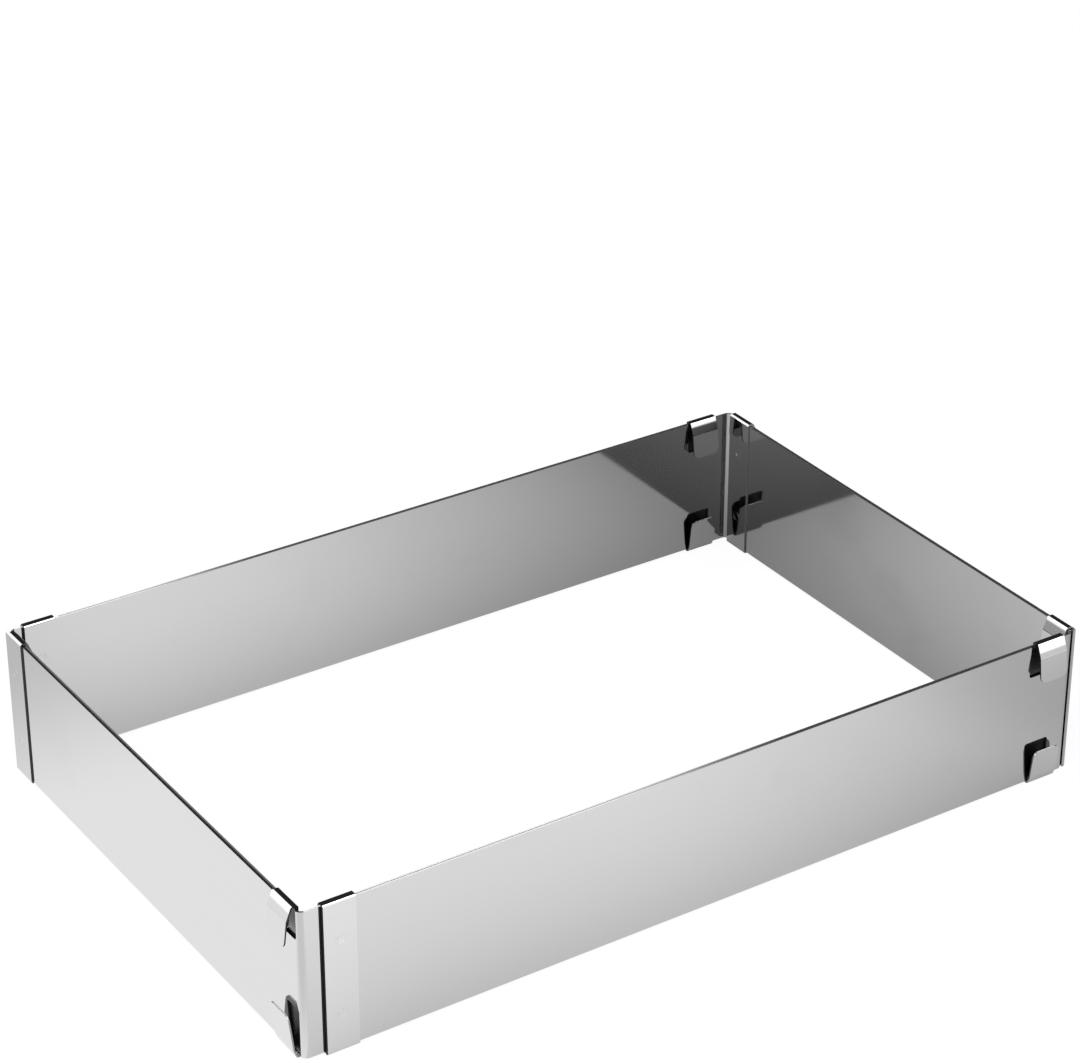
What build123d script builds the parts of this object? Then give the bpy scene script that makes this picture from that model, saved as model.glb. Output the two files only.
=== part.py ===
"""Adjustable cake frame: four L-shaped sheets whose arms overlap on every side and slide in welded clips.

Millimetres. +Z is up, X runs along the long sides and Y along the short ones. The origin is the middle
of the closed frame, on the surface that the clips' bottom folds stand on.
"""
from build123d import *
import math
import os

os.makedirs("parts", exist_ok=True)

# Closed frame, over the outer faces of its outer sheets
closed_length = 276.0
closed_width = 182.0

# Sheets
sheet_height = 49.0
sheet_thickness = 0.6
sheet_gap = 0.2
corner_radius = 2.4

# Distance from a corner's outer faces to the free end of the arm that comes towards it
long_outer_end = 7.1
long_inner_end = 5.5
short_outer_end = 0.9
short_inner_end = 3.6

# Notches that each sheet has behind the tabs that hang over it, measured from its own corner
long_notch_start = 8.6
long_notch_width = 9.4
short_notch_start = 2.4
short_notch_width = 6.6
long_top_notch = 11.0
long_bottom_notch = 14.0
short_top_notch = 9.5
short_bottom_notch = 16.1
notch_undercut = 1.6
notch_radius = 1.0

# Clips
clip_width = 10.4
clip_thickness = 0.5
clip_bend_radius = 0.25
clip_head_gap = 0.25
clip_side_gap = 0.1
shoulder_lean = 23.0
shoulder_radius = 2.0
top_shoulder = 3.6
bottom_shoulder = 1.8
tab_lean = 7.0
top_tab_reach = 12.1
long_bottom_tab_reach = 11.4
short_bottom_tab_reach = 14.0
tab_corner_radius = 2.2
corner_tab_inset = 1.4

# Spot welds that hold a clip to its arm
weld_diameter = 3.0
weld_depth = 0.1
weld_inset = 12.0

# How far cutting bodies run past what they cut
overrun = 1.0

# Heights and layers that follow from the sizes above
fold_drop = clip_head_gap + clip_thickness
sheet_bottom = fold_drop
sheet_top = sheet_bottom + sheet_height
layer_step = sheet_thickness + sheet_gap


class Side:
    """One side of the frame: its length, where the arms on it end, and its notches and bottom tabs."""

    def __init__(self, length, arm_ends, notch_reach, notch_depths, bottom_tab_reach):
        self.length = length
        self.outer_end, self.inner_end = arm_ends
        self.notch_start, self.notch_width = notch_reach
        self.top_notch, self.bottom_notch = notch_depths
        self.bottom_tab_reach = bottom_tab_reach


long_side = Side(
    closed_length,
    arm_ends=(long_outer_end, long_inner_end),
    notch_reach=(long_notch_start, long_notch_width),
    notch_depths=(long_top_notch, long_bottom_notch),
    bottom_tab_reach=long_bottom_tab_reach,
)
short_side = Side(
    closed_width,
    arm_ends=(short_outer_end, short_inner_end),
    notch_reach=(short_notch_start, short_notch_width),
    notch_depths=(short_top_notch, short_bottom_notch),
    bottom_tab_reach=short_bottom_tab_reach,
)


def upright(outline):
    """A solid as high as a sheet, over a closed outline in plan."""
    face = make_face(Polyline(*outline, close=True))
    return Pos(0, 0, sheet_bottom) * extrude(face, amount=sheet_height)


def bent_sheet(outer_arm, inner_arm):
    """The L-shaped sheet with its outer corner at the origin: outer arm along -X, inner arm along +Y."""
    outside = -layer_step
    inside = outside - sheet_thickness
    sheet = upright(
        [
            (-outer_arm, 0),
            (outside, 0),
            (outside, inner_arm),
            (inside, inner_arm),
            (inside, sheet_thickness),
            (-outer_arm, sheet_thickness),
        ]
    )
    middle = sheet_bottom + sheet_height / 2
    inner_edge = sheet.edges().sort_by_distance((inside, sheet_thickness, middle))[0]
    sheet = fillet(inner_edge, corner_radius - sheet_thickness)
    outer_edge = sheet.edges().sort_by_distance((outside, 0, middle))[0]
    return fillet(outer_edge, corner_radius)


def notch_cutters(side, through):
    """The cutting bodies of one arm's two notches, in a frame with X away from the corner along the arm.

    The bottom notch is higher, and its far wall leans back over the mouth.
    """
    start = side.notch_start
    end = start + side.notch_width
    top_level = sheet_top - side.top_notch
    bottom_level = sheet_bottom + side.bottom_notch
    top = [
        (start, sheet_top + overrun),
        (end, sheet_top + overrun),
        (end, top_level),
        (start, top_level),
    ]
    bottom = [
        (start, sheet_bottom - overrun),
        (end - notch_undercut, sheet_bottom - overrun),
        (end - notch_undercut, sheet_bottom),
        (end, bottom_level),
        (start, bottom_level),
    ]
    cutters = []
    for outline, level in ((top, top_level), (bottom, bottom_level)):
        face = make_face(Polyline(*outline, close=True))
        corners = [v for v in face.vertices() if abs(v.Y - level) < notch_radius / 2]
        face = fillet(corners, notch_radius)
        upright_face = Plane.XZ * face
        cutters.append(extrude(upright_face, amount=through, both=True))
    return cutters


def corner_sheet(outer_side, inner_side):
    """One bent sheet with its four notches, its outer corner at the origin."""
    sheet = bent_sheet(
        outer_side.length - outer_side.outer_end, inner_side.length - inner_side.inner_end
    )
    through = layer_step + sheet_thickness + overrun
    for cutter in notch_cutters(outer_side, through):
        sheet -= mirror(cutter, Plane.YZ)
    for cutter in notch_cutters(inner_side, through):
        sheet -= Rot(0, 0, 90) * cutter
    return sheet


def tab_line(edge_level, reach, shoulder, direction):
    """The corner, knee and tip of a tab's middle line, from its fold at a sheet's edge.

    The direction is -1 for the tab that hangs from the top and 1 for the one that stands up from
    the bottom. The shoulder leans out further than the rest of the tab.
    """
    fold = layer_step + sheet_thickness + clip_side_gap + clip_thickness / 2
    fold_level = edge_level - direction * (clip_head_gap + clip_thickness / 2)
    knee = fold + (shoulder + clip_head_gap) * math.tan(math.radians(shoulder_lean))
    tip = knee + (reach - shoulder) * math.tan(math.radians(tab_lean))
    return (
        (fold, fold_level),
        (knee, edge_level + direction * shoulder),
        (tip, edge_level + direction * reach),
    )


def clip_path(bottom_tab_reach):
    """The middle line of a clip in section: X away from the welded face, Y up.

    It starts at the tip of the bottom tab, runs under both sheets, up the welded plate, over both
    sheets and down to the tip of the top tab. Both tabs lean away from the sheets.
    """
    plate = -clip_thickness / 2
    top_fold, top_knee, top_tip = tab_line(sheet_top, top_tab_reach, top_shoulder, -1)
    bottom_fold, bottom_knee, bottom_tip = tab_line(sheet_bottom, bottom_tab_reach, bottom_shoulder, 1)
    tight = clip_bend_radius + clip_thickness / 2
    line = FilletPolyline(
        bottom_tip,
        bottom_knee,
        bottom_fold,
        (plate, bottom_fold[1]),
        (plate, top_fold[1]),
        top_fold,
        top_knee,
        top_tip,
        radius=[shoulder_radius, tight, tight, tight, tight, shoulder_radius],
    )
    return line, bottom_tip, top_tip


def clip(bottom_tab_reach, tab_inset=0.0):
    """A clip with its welded face on Y = 0 and its tabs towards +Y, from X = 0 to its width.

    A tab inset narrows both tabs at the end that lies at X = 0.
    """
    line, bottom_tip, top_tip = clip_path(bottom_tab_reach)
    path = Plane.YZ * line
    lean = math.radians(tab_lean)
    along = (0, -math.sin(lean), -math.cos(lean))
    section_plane = Plane(origin=(clip_width / 2, *bottom_tip), x_dir=(1, 0, 0), z_dir=along)
    section = section_plane * Rectangle(clip_width, clip_thickness)
    strip = sweep(section, path=Pos(clip_width / 2, 0, 0) * path)
    if tab_inset > 0:
        depth = bottom_tip[0] + overrun
        height = sheet_height + 2 * (fold_drop + overrun)
        strip -= Pos(0, clip_bend_radius, sheet_bottom - fold_drop - overrun) * Box(
            tab_inset, depth, height, align=(Align.MIN, Align.MIN, Align.MIN)
        )
    for tip in (bottom_tip, top_tip):
        across = [
            edge
            for edge in strip.edges().filter_by(GeomType.LINE)
            if abs(edge.length - clip_thickness) < clip_thickness / 10
            and abs(edge.center().Y - tip[0]) < clip_thickness
            and abs(edge.center().Z - tip[1]) < clip_thickness
        ]
        strip = fillet(across, tab_corner_radius)
    ball_radius = (weld_diameter**2 / 4 + weld_depth**2) / (2 * weld_depth)
    for level in (sheet_bottom + weld_inset, sheet_top - weld_inset):
        ball = Pos(clip_width / 2, weld_depth - clip_thickness - ball_radius, level) * Sphere(ball_radius)
        strip -= ball
    return strip


def clip_on_outer_arm(side, tab_inset=0.0):
    """The clip at the free end of the outer arm on a side: plate outside, tabs inside."""
    return Pos(side.outer_end, 0, 0) * clip(side.bottom_tab_reach, tab_inset)


def clip_on_inner_arm(side):
    """The clip at the free end of the inner arm on a side: plate inside, tabs outside."""
    outwards = mirror(clip(side.bottom_tab_reach), Plane.XZ)
    welded_face = layer_step + sheet_thickness
    return Pos(side.length - side.inner_end - clip_width, welded_face, 0) * outwards


def seated(solid, quarter_turns, on_long_side):
    """Puts a solid on one side of the frame.

    The solid is given with the side's left corner at the origin, as seen from outside, and the side
    along +X. The front side takes no turn, and each quarter turn goes on to the next side.
    """
    half_length = closed_length / 2
    half_width = closed_width / 2
    corner = Pos(-half_length, -half_width, 0) if on_long_side else Pos(-half_width, -half_length, 0)
    return Rot(0, 0, 90 * quarter_turns) * corner * solid


def sheet_at_right_end(outer_side, inner_side):
    """A corner sheet moved to the right end of the side that its outer arm lies on."""
    return Pos(outer_side.length, 0, 0) * corner_sheet(outer_side, inner_side)


# The four sides in turn, anticlockwise from the front, and the corner at each side's right end
sides = [
    ("front", long_side, short_side, "front_right_sheet"),
    ("right", short_side, long_side, "back_right_sheet"),
    ("back", long_side, short_side, "back_left_sheet"),
    ("left", short_side, long_side, "front_left_sheet"),
]

for quarter_turns, (name, side, next_side, sheet_name) in enumerate(sides):
    is_long = side is long_side
    inset = 0.0 if is_long else corner_tab_inset
    sheet = seated(sheet_at_right_end(side, next_side), quarter_turns, is_long)
    outer_clip = seated(clip_on_outer_arm(side, inset), quarter_turns, is_long)
    inner_clip = seated(clip_on_inner_arm(side), quarter_turns, is_long)
    export_step(sheet, "parts/" + sheet_name + ".step")
    export_step(outer_clip, "parts/" + name + "_outer_clip.step")
    export_step(inner_clip, "parts/" + name + "_inner_clip.step")
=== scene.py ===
"""Looks of the adjustable cake frame: polished steel sheets and clips on a white table."""

import logging
import math
from dataclasses import dataclass, replace
from enum import Enum
from typing import Any

import bmesh
import bpy
from mathutils import Matrix, Vector

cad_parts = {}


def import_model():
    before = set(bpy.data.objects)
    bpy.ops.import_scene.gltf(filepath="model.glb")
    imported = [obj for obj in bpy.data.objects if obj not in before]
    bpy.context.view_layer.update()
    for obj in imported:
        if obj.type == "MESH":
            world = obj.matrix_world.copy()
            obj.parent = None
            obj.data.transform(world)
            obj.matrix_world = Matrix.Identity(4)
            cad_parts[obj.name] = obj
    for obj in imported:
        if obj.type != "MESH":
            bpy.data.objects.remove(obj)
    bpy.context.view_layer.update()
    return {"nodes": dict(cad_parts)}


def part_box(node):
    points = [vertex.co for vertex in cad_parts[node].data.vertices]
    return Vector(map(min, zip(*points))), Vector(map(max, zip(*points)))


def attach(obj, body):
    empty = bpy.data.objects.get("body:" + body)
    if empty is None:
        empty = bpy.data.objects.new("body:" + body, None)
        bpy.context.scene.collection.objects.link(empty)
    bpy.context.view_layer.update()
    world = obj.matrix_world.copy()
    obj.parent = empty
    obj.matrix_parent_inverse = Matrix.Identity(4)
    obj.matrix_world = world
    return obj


MM = 0.001
WHITE = (1.0, 1.0, 1.0, 1.0)
NOISE_MIDDLE = 0.5
FACING_ATTRIBUTE = "facing"
LOG = logging.getLogger("cake_frame")
Numeric = "Value | bpy.types.NodeSocket | float"


class Value:
    """A number in a node tree that can be written in Python sums."""

    def __init__(self, graph: "Graph", socket: bpy.types.NodeSocket) -> None:
        """Keeps the tree and the output socket that carries the number."""
        self.graph = graph
        self.socket = socket

    def __add__(self, other: Numeric) -> "Value":
        """Sum of two numbers."""
        return self.graph.maths("ADD", self, other)

    def __sub__(self, other: Numeric) -> "Value":
        """This number less another."""
        return self.graph.maths("SUBTRACT", self, other)

    def __rsub__(self, other: Numeric) -> "Value":
        """Another number less this one."""
        return self.graph.maths("SUBTRACT", other, self)

    def __mul__(self, other: Numeric) -> "Value":
        """Product of two numbers."""
        return self.graph.maths("MULTIPLY", self, other)

    def __gt__(self, other: Numeric) -> "Value":
        """One where this number is the larger, else zero."""
        return self.graph.maths("GREATER_THAN", self, other)

    def __lt__(self, other: Numeric) -> "Value":
        """One where this number is the smaller, else zero."""
        return self.graph.maths("LESS_THAN", self, other)

    def __abs__(self) -> "Value":
        """The number without its sign."""
        return self.graph.maths("ABSOLUTE", self)

    def at_most(self, other: Numeric) -> "Value":
        """The smaller of two numbers."""
        return self.graph.maths("MINIMUM", self, other)

    def at_least(self, other: Numeric) -> "Value":
        """The larger of two numbers."""
        return self.graph.maths("MAXIMUM", self, other)

    __radd__ = __add__
    __rmul__ = __mul__


class Graph:
    """A node tree that is being written."""

    def __init__(self, tree: bpy.types.NodeTree) -> None:
        """Empties the tree and keeps it."""
        tree.nodes.clear()
        self.tree = tree

    def node(self, kind: str, settings: dict[str, Any], inputs: dict[Any, Any]) -> bpy.types.Node:
        """Adds a node.

        Args:
            kind: the node's type name.
            settings: properties set before its sockets.
            inputs: values or links of its sockets, by name or number.

        Returns:
            The new node.
        """
        made = self.tree.nodes.new(kind)
        for name, value in settings.items():
            setattr(made, name, value)
        for name, value in inputs.items():
            if isinstance(value, Value):
                value = value.socket
            if isinstance(value, bpy.types.NodeSocket):
                self.tree.links.new(value, made.inputs[name])
            else:
                made.inputs[name].default_value = value
        return made

    def maths(self, operation: str, *terms: Numeric) -> Value:
        """Adds a Math node and returns its result."""
        made = self.node("ShaderNodeMath", {"operation": operation}, dict(enumerate(terms)))
        return Value(self, made.outputs[0])

    def value(self, node: bpy.types.Node, name: str = "Fac") -> Value:
        """A node's output as a number."""
        return Value(self, node.outputs[name])

    def smooth(self, number: Numeric, low: float, high: float) -> Value:
        """Adds a soft step from zero to one.

        Args:
            number: the number that the step is taken over.
            low: where the step is still zero.
            high: where the step is one.

        Returns:
            The step.
        """
        settings = {"interpolation_type": "SMOOTHSTEP"}
        inputs = {"Value": number, "From Min": low, "From Max": high}
        made = self.node("ShaderNodeMapRange", settings, inputs)
        return Value(self, made.outputs["Result"])

    def axes(self, vector: bpy.types.NodeSocket) -> tuple[Value, Value, Value]:
        """The three parts of a vector."""
        made = self.node("ShaderNodeSeparateXYZ", {}, {"Vector": vector})
        return tuple(Value(self, made.outputs[name]) for name in "XYZ")

    def distance(self, x: Value, y: Value) -> Value:
        """The length of a flat offset."""
        return self.maths("SQRT", x * x + y * y)

    def end_in_steel(self, tone: Value, inputs: dict[str, Any]) -> None:
        """Ends a material's tree in bare metal.

        Args:
            tone: the metal's grey.
            inputs: values or links of its other sockets, by name.
        """
        colour = self.node("ShaderNodeCombineColor", {}, {0: tone, 1: tone, 2: tone})
        metal = {"Base Color": colour.outputs["Color"], "Metallic": 1.0}
        steel = self.node("ShaderNodeBsdfPrincipled", {}, {**metal, **inputs})
        self.node("ShaderNodeOutputMaterial", {}, {"Surface": steel.outputs["BSDF"]})

    def object_place(self) -> bpy.types.NodeSocket:
        """Object coordinates, in metres."""
        return self.node("ShaderNodeTexCoord", {}, {}).outputs["Object"]

    def noise(self, place: bpy.types.NodeSocket, scale: tuple[float, float, float], detail: float) -> Value:
        """Adds noise that may be drawn out along an axis.

        Args:
            place: the coordinates that it is laid on.
            scale: its scale along X, Y and Z.
            detail: how many finer layers it holds.

        Returns:
            The noise, from zero to one.
        """
        stretched = self.node("ShaderNodeMapping", {}, {"Vector": place, "Scale": scale})
        inputs = {"Vector": stretched.outputs["Vector"], "Scale": 1.0, "Detail": detail}
        return self.value(self.node("ShaderNodeTexNoise", {}, inputs))


def blank_material(name: str) -> tuple[bpy.types.Material, Graph]:
    """Makes a material that has no nodes yet.

    Args:
        name: the material's name.

    Returns:
        The material, and its tree to write in.
    """
    made = bpy.data.materials.new(name)
    made.use_nodes = True
    return made, Graph(made.node_tree)


class Grain(Enum):
    """The way that the rolling grain runs on a piece."""

    ROUND_THE_FRAME = "round"
    UP_THE_CLIP_ALONG_X = "up_x"
    UP_THE_CLIP_ALONG_Y = "up_y"


@dataclass(frozen=True)
class Marks:
    """What is found on a piece's surface: its cut edges and their finish, and the faces that carry painted
    shade, with the shade's tone.
    """

    cut: Value
    cut_tone: Value | float
    cut_roughness: Value | float
    painted_shade: Value | float
    painted_shade_tone: Value | float


@dataclass(frozen=True)
class PolishedSteel:
    """Bright rolled stainless steel, with ground edges whose tone is partly painted shade and painted
    highlight, and faces that carry painted shade.
    """

    tone: float = 0.79
    tone_spread: float = 0.03
    roughness: float = 0.05
    roughness_spread: float = 0.03
    grain_fine: float = 2600.0
    grain_coarse: float = 12.0
    grain_detail: float = 3.0
    grain_bump: float = 0.015
    grain_depth: float = 0.1 * MM
    wave_scale: float = 9.0
    wave_detail: float = 1.0
    wave_bump: float = 0.02
    wave_depth: float = 1.0 * MM
    smudge_scale: float = 24.0
    smudge_detail: float = 4.0
    smudge_from: float = 0.56
    smudge_until: float = 0.78
    smudge_depth: float = 0.05
    painted_shade_roughness: float = 0.3

    def grain_scale(self, grain: Grain) -> tuple[float, float, float]:
        """Gives the noise scale that draws the grain out into lines.

        Args:
            grain: the way that the grain runs.

        Returns:
            The scale along X, Y and Z.
        """
        fine, coarse = self.grain_fine, self.grain_coarse
        return {
            Grain.ROUND_THE_FRAME: (coarse, coarse, fine),
            Grain.UP_THE_CLIP_ALONG_X: (fine, coarse, coarse),
            Grain.UP_THE_CLIP_ALONG_Y: (coarse, fine, coarse),
        }[grain]

    def material(self, name: str, grain: Grain, surface: "Surface") -> bpy.types.Material:
        """Makes the steel's material.

        Args:
            name: the material's name.
            grain: the way that the rolling grain runs.
            surface: finds the piece's cut edges and the faces that carry painted shade.

        Returns:
            The material.
        """
        made, graph = blank_material(name)
        place = graph.object_place()
        lines = graph.noise(place, self.grain_scale(grain), self.grain_detail)
        clouds = graph.noise(place, (self.smudge_scale,) * 3, self.smudge_detail)
        waves = graph.noise(place, (self.wave_scale,) * 3, self.wave_detail)
        marks = surface.marks(graph, place)
        smudge = graph.smooth(clouds, self.smudge_from, self.smudge_until) * self.smudge_depth
        streaks = lines - NOISE_MIDDLE
        rolled = self.tone + streaks * self.tone_spread - smudge
        # painted shade: faces under the shade mask take the shade's darker tone
        tone_with_painted_shade = rolled + (marks.painted_shade_tone - rolled) * marks.painted_shade
        tone = tone_with_painted_shade + (marks.cut_tone - tone_with_painted_shade) * marks.cut
        smooth = self.roughness + (streaks + clouds) * self.roughness_spread
        roughness_on_shaded_faces = smooth + (self.painted_shade_roughness - smooth) * marks.painted_shade
        rough = roughness_on_shaded_faces + (marks.cut_roughness - roughness_on_shaded_faces) * marks.cut
        broad_inputs = {"Height": waves, "Strength": self.wave_bump, "Distance": self.wave_depth}
        broad = graph.node("ShaderNodeBump", {}, broad_inputs)
        fine_inputs = {
            "Height": lines,
            "Strength": self.grain_bump,
            "Distance": self.grain_depth,
            "Normal": broad.outputs["Normal"],
        }
        fine = graph.node("ShaderNodeBump", {}, fine_inputs)
        graph.end_in_steel(tone, {"Roughness": rough, "Normal": fine.outputs["Normal"]})
        return made


@dataclass(frozen=True)
class WeldSteel:
    """The raised rim that a spot weld leaves, a little greyer than the steel round it."""

    tone: float = 0.7
    tone_spread: float = 0.12
    roughness: float = 0.25
    mottle_scale: float = 900.0
    mottle_detail: float = 2.0

    def material(self) -> bpy.types.Material:
        """Makes the rim's material.

        Returns:
            The material.
        """
        made, graph = blank_material("weld_rim_steel")
        mottle = graph.noise(graph.object_place(), (self.mottle_scale,) * 3, self.mottle_detail)
        tone = self.tone + (mottle - NOISE_MIDDLE) * self.tone_spread
        graph.end_in_steel(tone, {"Roughness": self.roughness})
        return made


class Surface:
    """Finds the marks on a piece's surface from its normals and places."""

    def marks(self, graph: Graph, place: bpy.types.NodeSocket) -> Marks:
        """Writes the masks of the piece's marks into a material's tree."""
        raise NotImplementedError

    @staticmethod
    def normal(graph: Graph) -> tuple[Value, Value, Value]:
        """The three parts of the surface's true normal."""
        geometry = graph.node("ShaderNodeNewGeometry", {}, {})
        return graph.axes(geometry.outputs["True Normal"])


@dataclass(frozen=True)
class CornerSheet(Surface):
    """A bent sheet at one corner: cut edges all round, and arms that lie inside the neighbours' laps, with
    painted shade near their free ends.
    """

    node: str
    side_x: int
    side_y: int
    square: float = 0.9
    bend_reach: float = 2.0 * MM
    hair: float = 0.05 * MM
    short_edge_tone: float = 0.34
    long_edge_tone: float = 0.34
    short_end_tone: float = 0.05
    long_end_tone: float = 0.05
    lit_edge_tone: float = 0.72
    lit_edge_until: float = -0.045
    lit_edge_gone: float = 0.035
    edge_roughness: float = 0.4
    lit_edge_roughness: float = 0.9
    short_lap_shade_tone: float = 0.1
    long_lap_shade_tone: float = 0.1
    lap_shade_full: float = 14.0 * MM
    lap_shade_none: float = 18.0 * MM

    def marks(self, graph: Graph, place: bpy.types.NodeSocket) -> Marks:
        """Writes the masks of the sheet's edges, and of the painted shade on the lapped faces near its free
        ends.

        Args:
            graph: the material's tree.
            place: the object coordinates.

        Returns:
            The sheet's marks.
        """
        low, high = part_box(self.node)
        normal = self.normal(graph)
        x, y, _ = graph.axes(place)
        x_end, x_corner = (low.x, high.x) if self.side_x > 0 else (high.x, low.x)
        y_end, y_corner = (low.y, high.y) if self.side_y > 0 else (high.y, low.y)
        from_ends = abs(x - x_end), abs(y - y_end)
        off_arms = abs(x - x_corner) > self.bend_reach, abs(y - y_corner) > self.bend_reach
        cut, cut_tone, cut_roughness = self._edges(graph, x, normal, from_ends, off_arms)
        lap_shade, lap_shade_tone = self._lap_shade(graph, normal, from_ends)
        return Marks(cut, cut_tone, cut_roughness, lap_shade, lap_shade_tone)

    def _edges(
        self,
        graph: Graph,
        x: Value,
        normal: tuple[Value, Value, Value],
        from_ends: tuple[Value, Value],
        off_arms: tuple[Value, Value],
    ) -> tuple[Value, Value, Value]:
        """Writes where the sheet's cut edges are, and their finish: a dark tone that is partly the ground
        edge and partly painted shade, and a painted highlight on the long edges.

        The long edges are bright towards the left of the frame, as the photograph has them.

        Args:
            graph: the material's tree.
            x: the place along the long sides.
            normal: the surface's true normal.
            from_ends: the distances from the long arm's free end and from the short arm's.
            off_arms: one where a place is off the short arm, and one where it is off the long arm.

        Returns:
            The mask, the tone and the roughness.
        """
        nx, ny, nz = normal
        from_x_end, from_y_end = from_ends
        off_short_arm, off_long_arm = off_arms
        x_wall = (abs(nx) > self.square) * off_short_arm
        y_wall = (abs(ny) > self.square) * off_long_arm
        level = abs(nz) > self.square
        short_end = from_y_end < self.hair
        ends = short_end.at_least(from_x_end < self.hair)
        cut = level.at_least(x_wall).at_least(y_wall).at_least(ends)
        # painted highlight: the long top edges are brightened towards the left of the frame
        lit = (1.0 - graph.smooth(x, self.lit_edge_until, self.lit_edge_gone)) * off_short_arm * level
        edge_tone = self.short_edge_tone + off_short_arm * (self.long_edge_tone - self.short_edge_tone)
        edge_tone_with_painted_highlight = edge_tone + (self.lit_edge_tone - edge_tone) * lit
        # the free ends' tone is painted shade, dark for the gap between the sheets; some sheets set it
        # lighter, as painted light
        end_tone = self.long_end_tone + short_end * (self.short_end_tone - self.long_end_tone)
        cut_tone = edge_tone_with_painted_highlight + (end_tone - edge_tone_with_painted_highlight) * ends
        cut_roughness = self.edge_roughness + lit * (self.lit_edge_roughness - self.edge_roughness)
        return cut, cut_tone, cut_roughness

    def _lap_shade(
        self, graph: Graph, normal: tuple[Value, Value, Value], from_ends: tuple[Value, Value]
    ) -> tuple[Value, Value]:
        """Writes the painted shade on the sheet's faces that lie against its neighbours' arms, near its
        free ends, where shade falls between the sheets.

        Args:
            graph: the material's tree.
            normal: the surface's true normal.
            from_ends: the distances from the long arm's free end and from the short arm's.

        Returns:
            The painted shade's mask and tone.
        """
        nx, ny, _ = normal
        from_x_end, from_y_end = from_ends
        long_arm_is_outer = self.side_x * self.side_y < 0
        lap_y = -self.side_y if long_arm_is_outer else self.side_y
        lap_x = self.side_x if long_arm_is_outer else -self.side_x
        # painted shade: the lapped faces near the free ends are darkened where shade falls between the
        # sheets
        near_x_end = 1.0 - graph.smooth(from_x_end, self.lap_shade_full, self.lap_shade_none)
        near_y_end = 1.0 - graph.smooth(from_y_end, self.lap_shade_full, self.lap_shade_none)
        short_lap = nx * lap_x > self.square
        lap_shade = (short_lap * near_y_end).at_least((ny * lap_y > self.square) * near_x_end)
        return lap_shade, self.long_lap_shade_tone + short_lap * (self.short_lap_shade_tone - self.long_lap_shade_tone)

    def dress(self, nodes: dict[str, bpy.types.Object], finish: PolishedSteel) -> None:
        """Gives the sheet its steel."""
        put_on(nodes[self.node], finish.material(self.node + "_steel", Grain.ROUND_THE_FRAME, self))


@dataclass(frozen=True)
class HookClip(Surface):
    """A clip that is welded on by its plate and hooks over both edges of the neighbouring arm."""

    node: str
    body: str
    facing: tuple[int, int]
    tone: float = 0.79
    plate_edge_tone: float = 0.05
    hook_edge_tone: float = 0.4
    edge_roughness: float = 0.4
    shoulder_shade_tone: float = 0.48
    shoulder_lean: float = 0.25
    shoulder_bright: float = 2.3 * MM
    shoulder_fade: float = 0.8 * MM
    square: float = 0.75
    edge_on: float = 0.5
    plate_depth: float = 1.0 * MM
    fold_reach: float = 3.0 * MM
    weld_height: float = 12.75 * MM

    @property
    def along_x(self) -> bool:
        """Whether the clip sits on a long side."""
        return self.facing[0] == 0

    def marks(self, graph: Graph, place: bpy.types.NodeSocket) -> Marks:
        """Writes the masks of the strip's edges, and of the painted shade on the foot of the top hook's
        shoulder.

        Args:
            graph: the material's tree.
            place: the object coordinates.

        Returns:
            The clip's marks.
        """
        low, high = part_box(self.node)
        nx, ny, nz = self.normal(graph)
        x, y, z = graph.axes(place)
        across, away, through = (nx, ny, y) if self.along_x else (ny, nx, x)
        facing = self.facing[1] if self.along_x else self.facing[0]
        low_face, high_face = (low.y, high.y) if self.along_x else (low.x, high.x)
        plate = high_face if facing > 0 else low_face
        off_plate = abs(through - plate) > self.plate_depth
        bottom_hook = off_plate * (z < (low.z + high.z) / 2)
        strip_edge = abs(across) > self.square
        between = (z > low.z + self.fold_reach) * (z < high.z - self.fold_reach)
        tip = (abs(away) < self.edge_on) * between
        # the plate's cut edges are darkened as painted shade, and the bottom hook's edges are set lighter
        # as painted light
        cut_tone = self.plate_edge_tone + bottom_hook * (self.hook_edge_tone - self.plate_edge_tone)
        # painted shade: the foot of the top hook's shoulder is darkened so that less of its bright top
        # shows
        leaning = (nz > self.shoulder_lean) * (z > (low.z + high.z) / 2)
        shoulder_shade_from = self.shoulder_bright + self.shoulder_fade
        painted_shade = leaning * graph.smooth(high.z - z, self.shoulder_bright, shoulder_shade_from)
        return Marks(strip_edge.at_least(tip), cut_tone, self.edge_roughness, painted_shade, self.shoulder_shade_tone)

    def dress(self, nodes: dict[str, bpy.types.Object], finish: PolishedSteel) -> None:
        """Gives the clip its steel, in a tone set per clip, which paints lighter and darker copies of one
        steel as light and shade.

        Args:
            nodes: the frame's CAD pieces by name.
            finish: the steel that the sheets have.
        """
        grain = Grain.UP_THE_CLIP_ALONG_X if self.along_x else Grain.UP_THE_CLIP_ALONG_Y
        steel = replace(finish, tone=self.tone)
        put_on(nodes[self.node], steel.material(self.node + "_steel", grain, self))

    def welds(self) -> list[Vector]:
        """Finds the middles of the clip's two spot welds, on the plate's free face.

        Returns:
            The two places.
        """
        low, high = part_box(self.node)
        middle = (low + high) / 2
        x = middle.x if self.along_x else (high.x if self.facing[0] > 0 else low.x)
        y = (high.y if self.facing[1] > 0 else low.y) if self.along_x else middle.y
        return [Vector((x, y, z)) for z in (low.z + self.weld_height, high.z - self.weld_height)]


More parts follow.
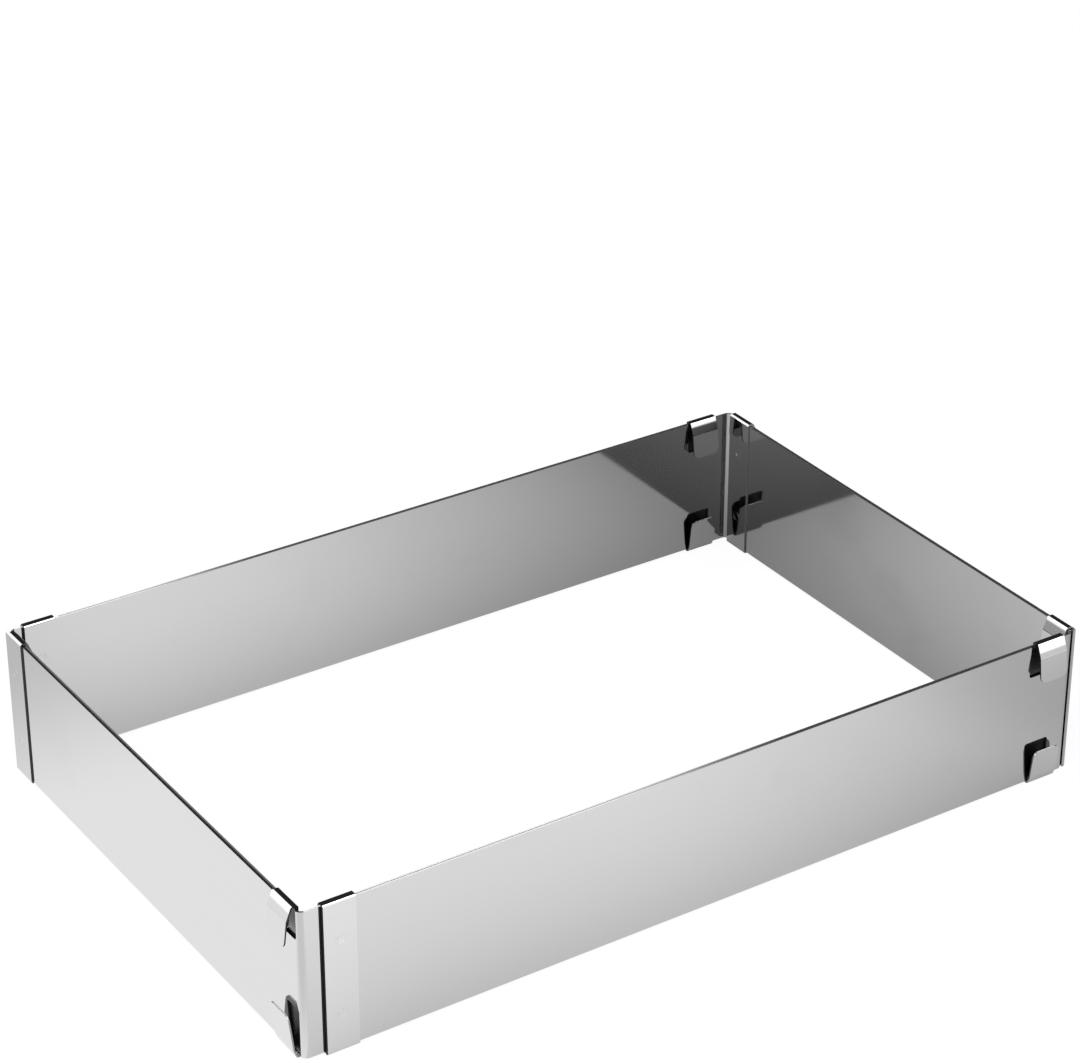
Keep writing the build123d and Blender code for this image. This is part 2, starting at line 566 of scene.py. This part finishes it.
# The per-sheet edge, end and lap tones are painted light and shade, set lighter or darker where each
# sheet's edges catch light or fall in shade.
SHEETS = (
    CornerSheet("front_left_sheet", -1, -1, short_edge_tone=0.06),
    CornerSheet("front_right_sheet", 1, -1, short_end_tone=0.5),
    CornerSheet("back_right_sheet", 1, 1, short_end_tone=0.62, lit_edge_until=-0.1, lit_edge_gone=-0.045),
    CornerSheet("back_left_sheet", -1, 1, short_lap_shade_tone=0.42, lit_edge_until=-0.1, lit_edge_gone=-0.045),
)
# The per-clip tones, edge tones and shoulder shades are painted light and shade: lighter and darker copies
# of one steel.
CLIPS = (
    HookClip("front_outer_clip", "front_right", (0, -1), tone=0.86),
    HookClip("front_inner_clip", "front_left", (0, 1), tone=0.88),
    HookClip(
        "right_outer_clip",
        "back_right",
        (1, 0),
        plate_edge_tone=0.7,
        shoulder_shade_tone=0.32,
        shoulder_bright=0.6 * MM,
    ),
    HookClip("right_inner_clip", "front_right", (-1, 0), plate_edge_tone=0.45, hook_edge_tone=0.12),
    HookClip(
        "back_outer_clip",
        "back_left",
        (0, 1),
        hook_edge_tone=0.12,
        shoulder_shade_tone=0.06,
        shoulder_bright=1.1 * MM,
    ),
    HookClip("back_inner_clip", "back_right", (0, -1)),
    HookClip("left_outer_clip", "front_left", (-1, 0), tone=0.74, plate_edge_tone=0.14),
    HookClip("left_inner_clip", "back_left", (1, 0), shoulder_shade_tone=0.58, shoulder_bright=1.3 * MM),
)


def put_on(piece: bpy.types.Object, steel: bpy.types.Material) -> None:
    """Puts a material in all of a piece's slots.

    Args:
        piece: the piece.
        steel: its material.
    """
    for slot in piece.material_slots:
        slot.material = steel
    LOG.info("%s: %d slots dressed with %s", piece.name, len(piece.material_slots), steel.name)


@dataclass(frozen=True)
class WeldRims:
    """The thin raised rims round the spot welds, one mesh for each body."""

    rim_radius: float = 1.5 * MM
    rim_thickness: float = 0.02 * MM
    rim_steps: int = 28
    section_steps: int = 6

    def tree(self, steel: bpy.types.Material) -> bpy.types.NodeTree:
        """Builds the tree that puts a rim on every weld point, square to the point's facing.

        Args:
            steel: the rims' material.

        Returns:
            The tree, with named inputs for the rims' sizes.
        """
        tree = bpy.data.node_groups.new("weld_rims", "GeometryNodeTree")
        face = tree.interface
        face.new_socket("Welds", in_out="INPUT", socket_type="NodeSocketGeometry")
        face.new_socket("Rim Radius", in_out="INPUT", socket_type="NodeSocketFloat")
        face.new_socket("Rim Thickness", in_out="INPUT", socket_type="NodeSocketFloat")
        face.new_socket("Rim Steps", in_out="INPUT", socket_type="NodeSocketInt")
        face.new_socket("Rims", in_out="OUTPUT", socket_type="NodeSocketGeometry")
        graph = Graph(tree)
        given = graph.node("NodeGroupInput", {}, {})
        ring_inputs = {"Resolution": given.outputs["Rim Steps"], "Radius": given.outputs["Rim Radius"]}
        ring = graph.node("GeometryNodeCurvePrimitiveCircle", {}, ring_inputs)
        section_inputs = {"Resolution": self.section_steps, "Radius": given.outputs["Rim Thickness"]}
        section = graph.node("GeometryNodeCurvePrimitiveCircle", {}, section_inputs)
        rim_inputs = {"Curve": ring.outputs["Curve"], "Profile Curve": section.outputs["Curve"]}
        rim = graph.node("GeometryNodeCurveToMesh", {}, rim_inputs)
        points = graph.node("GeometryNodeMeshToPoints", {}, {"Mesh": given.outputs["Welds"]})
        facing_settings = {"data_type": "FLOAT_VECTOR"}
        facing = graph.node("GeometryNodeInputNamedAttribute", facing_settings, {"Name": FACING_ATTRIBUTE})
        turned_inputs = {"Vector": facing.outputs[0]}
        turned = graph.node("FunctionNodeAlignRotationToVector", {"axis": "Z"}, turned_inputs)
        placed_inputs = {
            "Points": points.outputs["Points"],
            "Instance": rim.outputs["Mesh"],
            "Rotation": turned.outputs["Rotation"],
        }
        placed = graph.node("GeometryNodeInstanceOnPoints", {}, placed_inputs)
        real = graph.node("GeometryNodeRealizeInstances", {}, {"Geometry": placed.outputs["Instances"]})
        dressed_inputs = {"Geometry": real.outputs["Geometry"], "Material": steel}
        dressed = graph.node("GeometryNodeSetMaterial", {}, dressed_inputs)
        graph.node("NodeGroupOutput", {}, {"Rims": dressed.outputs["Geometry"]})
        return tree

    def build(self, clips: tuple[HookClip, ...], finish: WeldSteel) -> None:
        """Makes the rims of every body and lets them ride on it.

        Args:
            clips: the frame's clips.
            finish: the rims' steel.
        """
        tree = self.tree(finish.material())
        for body in dict.fromkeys(clip.body for clip in clips):
            welds = [(place, clip.facing) for clip in clips if clip.body == body for place in clip.welds()]
            rims = self._rims(body + "_weld_rims", welds, tree)
            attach(rims, body)
            LOG.info("%s: %d rims", rims.name, len(welds))

    def _rims(
        self, name: str, welds: list[tuple[Vector, tuple[int, int]]], tree: bpy.types.NodeTree
    ) -> bpy.types.Object:
        """Runs the tree on one body's weld points and keeps the result as a plain mesh.

        Args:
            name: the new piece's name.
            welds: the welds' places and the ways that their plates face.
            tree: the rims' node tree.

        Returns:
            The rims as one object at the origin.
        """
        points = bpy.data.meshes.new(name + "_points")
        points.from_pydata([place for place, _ in welds], [], [])
        facing = points.attributes.new(FACING_ATTRIBUTE, "FLOAT_VECTOR", "POINT")
        for row, (_, (x, y)) in zip(facing.data, welds):
            row.vector = (x, y, 0)
        rims = bpy.data.objects.new(name, points)
        bpy.context.scene.collection.objects.link(rims)
        modifier = rims.modifiers.new("weld_rims", "NODES")
        modifier.node_group = tree
        sizes = {
            "Rim Radius": self.rim_radius,
            "Rim Thickness": self.rim_thickness,
            "Rim Steps": self.rim_steps,
        }
        for item in tree.interface.items_tree:
            if item.name in sizes:
                modifier[item.identifier] = sizes[item.name]
        evaluated = rims.evaluated_get(bpy.context.evaluated_depsgraph_get())
        mesh = bpy.data.meshes.new_from_object(evaluated)
        rims.modifiers.remove(modifier)
        rims.data = mesh
        shell = bmesh.new()
        shell.from_mesh(mesh)
        bmesh.ops.recalc_face_normals(shell, faces=shell.faces)
        shell.to_mesh(mesh)
        shell.free()
        return rims


@dataclass(frozen=True)
class ShadePool:
    """A patch of the table that is darker in the metal: full within one radius, gone past a wider one."""

    place: tuple[float, float]
    full: float
    none: float
    share: float

    def light(self, graph: Graph, x: Value, y: Value) -> Value:
        """Writes the share of light that the pool leaves.

        Args:
            graph: the table material's tree.
            x: the place along X.
            y: the place along Y.

        Returns:
            The share of light at the place.
        """
        from_middle = graph.distance(x - self.place[0], y - self.place[1])
        shade = 1.0 - graph.smooth(from_middle, self.full, self.none)
        return 1.0 - shade * (1.0 - self.share)


@dataclass(frozen=True)
class SoftLamp:
    """A square lamp that looks at the frame, with its side in metres and its power in watts."""

    name: str
    place: tuple[float, float, float]
    width: float
    power: float

    def build(self) -> None:
        """Makes the lamp, hangs it and turns it to the frame."""
        data = bpy.data.lights.new(self.name, "AREA")
        data.shape = "SQUARE"
        data.size = self.width
        data.energy = self.power
        lamp = bpy.data.objects.new(self.name, data)
        place = Vector(self.place)
        lamp.location = place
        lamp.rotation_euler = (-place).to_track_quat("-Z", "Y").to_euler()
        bpy.context.scene.collection.objects.link(lamp)
        LOG.info("%s: hung", self.name)


@dataclass(frozen=True)
class Studio:
    """A white table, soft lamps, and a bright room with a dark corner behind the frame."""

    table_size: float = 12.0
    lit_slope: tuple[float, float] = (1.0, 0.6)
    lit_until: float = -0.09
    dim_from: float = 0.2
    lit_tone: float = 0.92
    left_tone: float = 0.925
    dim_share: float = 0.45
    far_from: float = 0.22
    far_until: float = 0.5
    far_tone: float = 0.8
    left_edge: float = -0.138
    back_left_from: float = 0.055
    back_left_until: float = 0.16
    back_left_share: float = 0.68
    far_left_from: float = -0.24
    far_left_full: float = -0.3
    far_left_tone: float = 1.3
    front_left: ShadePool = ShadePool((-0.185, -0.135), full=0.03, none=0.075, share=0.76)
    front_right: ShadePool = ShadePool((0.19, -0.14), full=0.03, none=0.085, share=0.82)
    foot_reach: float = 0.12
    foot_depth: float = 0.64
    foot_samples: int = 12
    matt_colour: tuple[float, float, float, float] = (0.8, 0.8, 0.8, 1.0)
    second_glance: float = 0.3
    shadow_share: float = 0.1
    room_dark: float = 0.02
    room_bright: float = 1.3
    dark_right: tuple[float, float] = (0.2, 0.3)
    dark_back: tuple[float, float] = (-0.3, 0.0)
    lamps: tuple[SoftLamp, ...] = (
        SoftLamp("left_softbox", (-1.1, -0.7, 1.3), width=0.9, power=14.0),
        SoftLamp("front_softbox", (0.9, -1.2, 1.5), width=0.9, power=12.0),
        SoftLamp("back_softbox", (-0.9, 1.0, 1.6), width=0.9, power=8.0),
    )

    def build(self) -> None:
        """Makes the table, the room and the lamps."""
        self._table()
        self._room()
        for lamp in self.lamps:
            lamp.build()

    def _table(self) -> None:
        """Makes a large table top at the height that the frame stands on."""
        half = self.table_size / 2
        corners = [(-half, -half, 0), (half, -half, 0), (half, half, 0), (-half, half, 0)]
        mesh = bpy.data.meshes.new("table_top")
        mesh.from_pydata(corners, [], [range(len(corners))])
        table = bpy.data.objects.new("table_top", mesh)
        bpy.context.scene.collection.objects.link(table)
        table.data.materials.append(self._table_finish())
        LOG.info("%s: staged", table.name)

    def _mirrored(self, graph: Graph) -> Value:
        """Writes the table's fall of light, as metal mirrors it.

        Args:
            graph: the table material's tree.

        Returns:
            The table's brightness at a place.
        """
        x, y, _ = graph.axes(graph.object_place())
        outside_left = x < self.left_edge
        slope = x * self.lit_slope[0] + y * self.lit_slope[1]
        dim = graph.smooth(slope, self.lit_until, self.dim_from)
        lit = self.lit_tone + outside_left * (self.left_tone - self.lit_tone)
        near = lit * (1.0 - dim * (1.0 - self.dim_share))
        far = graph.smooth(graph.distance(x, y), self.far_from, self.far_until)
        fallen = near + (self.far_tone - near) * far
        back_left = graph.smooth(y, self.back_left_from, self.back_left_until) * outside_left
        left = 1.0 - back_left * (1.0 - self.back_left_share)
        pools = self.front_left.light(graph, x, y) * self.front_right.light(graph, x, y)
        foot = 1.0 - self._foot_shade(graph) * (1.0 - outside_left)
        mirrored = fallen * left * pools * foot
        far_left = 1.0 - graph.smooth(x, self.far_left_full, self.far_left_from)
        return mirrored + (self.far_left_tone - mirrored) * far_left

    def _foot_shade(self, graph: Graph) -> Value:
        """Writes the shade on the table close to the frame's foot.

        Args:
            graph: the table material's tree.

        Returns:
            The share of light that is lost.
        """
        settings = {"samples": self.foot_samples}
        crowding = graph.node("ShaderNodeAmbientOcclusion", settings, {"Distance": self.foot_reach})
        return (1.0 - graph.value(crowding, "AO")) * self.foot_depth

    def _fading(self, graph: Graph, path: bpy.types.Node) -> Value:
        """Writes how light fades where it is mirrored more than once.

        Args:
            graph: the tree of the table or of the room.
            path: the tree's Light Path node.

        Returns:
            The share of light that is left.
        """
        repeated = (graph.value(path, "Glossy Depth") - 1.0).at_least(0.0).at_most(1.0)
        return graph.maths("POWER", self.second_glance, repeated)

    def _table_finish(self) -> bpy.types.Material:
        """Makes a finish that is white to the eye, and has the table's fall of light in the metal.

        Returns:
            The material.
        """
        made, graph = blank_material("table_white")
        path = graph.node("ShaderNodeLightPath", {}, {})
        glossy = graph.value(path, "Is Glossy Ray").at_least(graph.value(path, "Is Transmission Ray"))
        camera = graph.value(path, "Is Camera Ray")
        glow = camera + glossy * self._mirrored(graph) * self._fading(graph, path)
        light = graph.node("ShaderNodeEmission", {}, {"Color": WHITE, "Strength": glow})
        matt = graph.node("ShaderNodeBsdfDiffuse", {}, {"Color": self.matt_colour})
        matt_share = (1.0 - camera * (1.0 - self.shadow_share)) * (1.0 - glossy)
        mixed_inputs = {0: matt_share, 1: light.outputs[0], 2: matt.outputs[0]}
        mixed = graph.node("ShaderNodeMixShader", {}, mixed_inputs)
        graph.node("ShaderNodeOutputMaterial", {}, {"Surface": mixed.outputs[0]})
        return made

    def _room(self) -> None:
        """Makes a room that is white behind the frame, and bright with one dark corner in the metal."""
        world = bpy.data.worlds.new("studio_room")
        world.use_nodes = True
        bpy.context.scene.world = world
        graph = Graph(world.node_tree)
        x, y, _ = graph.axes(graph.node("ShaderNodeTexCoord", {}, {}).outputs["Generated"])
        dark = graph.smooth(x, *self.dark_right) * graph.smooth(y, *self.dark_back)
        room = self.room_bright + dark * (self.room_dark - self.room_bright)
        path = graph.node("ShaderNodeLightPath", {}, {})
        camera = graph.value(path, "Is Camera Ray")
        strength = camera + (1.0 - camera) * room * self._fading(graph, path)
        light = graph.node("ShaderNodeBackground", {}, {"Color": WHITE, "Strength": strength})
        graph.node("ShaderNodeOutputWorld", {}, {"Surface": light.outputs[0]})
        LOG.info("%s: lit", world.name)


@dataclass(frozen=True)
class PhotoCamera:
    """The photograph's viewpoint. The optical axis passes above the frame, as in the picture."""

    azimuth: float = -33.34
    elevation: float = 28.65
    distance: float = 1.0751
    axis_above_frame: float = 0.0745
    axis_beside_frame: float = -0.0003
    lens: float = 113.5
    sensor: float = 36.0
    sight: float = 100.0

    def build(self) -> None:
        """Makes the camera and puts it to use."""
        azimuth, elevation = math.radians(self.azimuth), math.radians(self.elevation)
        level = math.cos(elevation)
        back = Vector((math.sin(azimuth) * level, -math.cos(azimuth) * level, math.sin(elevation)))
        right = Vector((0, 0, 1)).cross(back).normalized()
        up = back.cross(right)
        data = bpy.data.cameras.new("photo_camera")
        data.lens = self.lens
        data.sensor_width = self.sensor
        data.clip_end = self.sight
        camera = bpy.data.objects.new("photo_camera", data)
        turn = Matrix((right, up, back)).transposed().to_4x4()
        beside = up * self.axis_above_frame + right * self.axis_beside_frame
        camera.matrix_world = Matrix.Translation(back * self.distance + beside) @ turn
        bpy.context.scene.collection.objects.link(camera)
        bpy.context.scene.camera = camera
        LOG.info("%s: placed", camera.name)


def main() -> None:
    """Loads the frame, dresses it and lights it."""
    logging.basicConfig(level=logging.INFO, format="%(message)s")
    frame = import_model()
    steel = PolishedSteel()
    for piece in (*SHEETS, *CLIPS):
        piece.dress(frame["nodes"], steel)
    WeldRims().build(CLIPS, WeldSteel())
    Studio().build()
    PhotoCamera().build()
    bpy.context.scene.view_settings.view_transform = "Standard"


if __name__ == "__main__":
    main()
